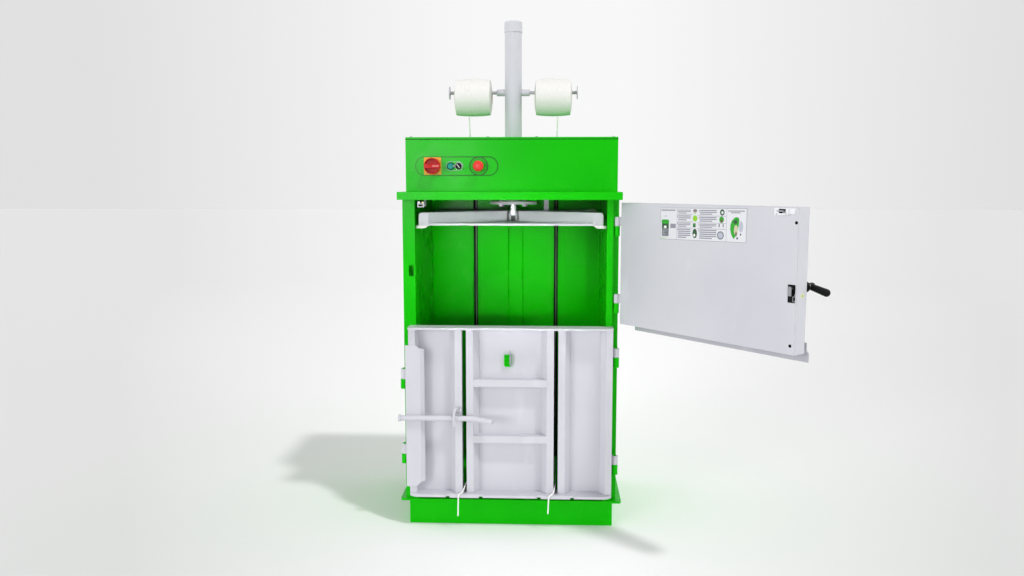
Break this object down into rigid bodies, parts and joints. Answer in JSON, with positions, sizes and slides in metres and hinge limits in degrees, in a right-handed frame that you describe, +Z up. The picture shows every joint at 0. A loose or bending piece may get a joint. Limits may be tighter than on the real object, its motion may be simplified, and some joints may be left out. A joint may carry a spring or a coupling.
{
  "type": "vertical recycling baler",
  "caption": "Upright hydraulic baler: open upper door, ribbed lower door with clamp bar and lever, platen under a tall cylinder, strap rolls on side arms.",
  "frame": {"origin": "Floor level under the press axis, the axis of the cylinder, and the centre of the four floor fixing holes.", "axes": "+X to the hinge side of the doors, the right seen from the front; +Y to the rear; +Z up."},
  "size_m": [1.4107, 1.156, 1.916],
  "materials": {
    "green_paint": "bright green powder coat",
    "grey_paint": "light grey powder coat",
    "black_paint": "black paint",
    "zinc": "bright zinc-plated steel",
    "chrome": "hard chrome",
    "black_plastic": "black moulded plastic",
    "yellow_plastic": "yellow moulded plastic",
    "white_plastic": "white sliding plastic",
    "red_plastic": "red moulded plastic",
    "green_plastic": "green moulded plastic",
    "strap_fibre": "off-white polyester baling strap",
    "tank_paint": "dark grey paint",
    "rubber": "black hydraulic hose"
  },
  "bodies": {
    "frame": {"base_plinth": "green_paint", "floor_plate": "green_paint", "chamber_floor": "green_paint", "side_wall_right": "green_paint", "side_wall_left": "green_paint", "back_wall_centre": "green_paint", "back_wall_sides": "green_paint", "strap_channels": "black_paint", "roof_plate": "green_paint", "header_ledge": "green_paint", "control_box": "green_paint", "control_box_lid": "green_paint", "cylinder_flange": "grey_paint", "cylinder_tube": "grey_paint", "cylinder_cap": "grey_paint", "flange_bolts": "zinc", "roll_arms": "grey_paint", "frame_hinges": "green_paint", "interlock_switch": "black_plastic", "switch_brackets": "grey_paint", "control_bezels": "chrome", "main_switch_plate": "yellow_plastic", "oil_tank": "tank_paint", "pump_motor": "tank_paint", "contactor_case": "tank_paint", "pressure_hose": "rubber", "left_strap": "strap_fibre", "right_strap": "strap_fibre"},
    "platen": {"piston_rod": "chrome", "platen_plate": "grey_paint", "platen_ribs": "grey_paint", "rod_clevis": "grey_paint", "platen_shoes": "white_plastic"},
    "left_roll": {"left_roll": "strap_fibre"},
    "right_roll": {"right_roll": "strap_fibre"},
    "upper_door": {"upper_door_hinges": "grey_paint", "upper_door_skin": "grey_paint", "upper_door_liner": "grey_paint", "upper_door_lip": "grey_paint", "lock_case": "black_plastic", "interlock_key": "grey_paint"},
    "door_handle": {"door_handle": "black_plastic", "latch_cam": "zinc"},
    "lower_door": {"lower_door_hinges": "grey_paint", "lower_door_sheet": "grey_paint", "lower_door_ribs": "grey_paint", "lower_door_cross_ribs": "grey_paint", "lower_door_top_rail": "grey_paint", "lower_door_bottom_rail": "grey_paint", "strap_guides": "grey_paint", "strap_cutter": "green_paint", "cutter_blade": "zinc", "catch_bracket": "grey_paint"},
    "catch_hook": {"catch_hook": "grey_paint"},
    "clamp_bar": {"clamp_bar": "grey_paint", "locking_lever": "grey_paint"},
    "main_switch": {"main_switch_knob": "red_plastic"},
    "start_button": {"start_button": "green_plastic"},
    "selector": {"selector_knob": "black_plastic"},
    "emergency_stop": {"emergency_stop": "red_plastic"}
  },
  "joints": [
    {"name": "platen_slide", "type": "slide", "parent": "frame", "child": "platen", "axis": [0, 0, -1], "range_m": [0, 0.56]},
    {"name": "upper_door_hinge", "type": "hinge", "parent": "frame", "child": "upper_door", "pos_m": [0.3925, -0.25, 1], "axis": [0, 0, 1], "range_deg": [-128.75, 46.25]},
    {"name": "handle_turn", "type": "hinge", "parent": "upper_door", "child": "door_handle", "pos_m": [0.86977, -0.84466, 0.985], "axis": [-0.7799, -0.6259, 0], "range_deg": [0, 90]},
    {"name": "lower_door_hinge", "type": "hinge", "parent": "frame", "child": "lower_door", "pos_m": [0.3925, -0.27, 0.45], "axis": [0, 0, 1], "range_deg": [0, 125], "deforming": ["left_strap", "right_strap"]},
    {"name": "catch_lift", "type": "hinge", "parent": "lower_door", "child": "catch_hook", "pos_m": [-0.193, -0.304, 0.458], "axis": [-1, 0, 0], "range_deg": [0, 55]},
    {"name": "clamp_bar_hinge", "type": "hinge", "parent": "frame", "child": "clamp_bar", "pos_m": [-0.397, -0.285, 0.45], "axis": [0, 0, -1], "range_deg": [0, 120]},
    {"name": "main_switch_turn", "type": "hinge", "parent": "frame", "child": "main_switch", "pos_m": [-0.295, -0.18, 1.3615], "axis": [0, 1, 0], "range_deg": [0, 90]},
    {"name": "start_button_push", "type": "slide", "parent": "frame", "child": "start_button", "axis": [0, 1, 0], "range_m": [0, 0.0035], "stiffness_N_per_m": 500},
    {"name": "selector_turn", "type": "hinge", "parent": "frame", "child": "selector", "pos_m": [-0.1975, -0.18, 1.3615], "axis": [0, 1, 0], "range_deg": [0, 90]},
    {"name": "emergency_stop_push", "type": "slide", "parent": "frame", "child": "emergency_stop", "axis": [0, 1, 0], "range_m": [0, 0.006]},
    {"name": "left_roll_spin", "type": "hinge", "parent": "frame", "child": "left_roll", "pos_m": [-0.155, 0, 1.6293], "axis": [1, 0, 0], "continuous": true},
    {"name": "right_roll_spin", "type": "hinge", "parent": "frame", "child": "right_roll", "pos_m": [0.155, 0, 1.6293], "axis": [1, 0, 0], "continuous": true}
  ]
}
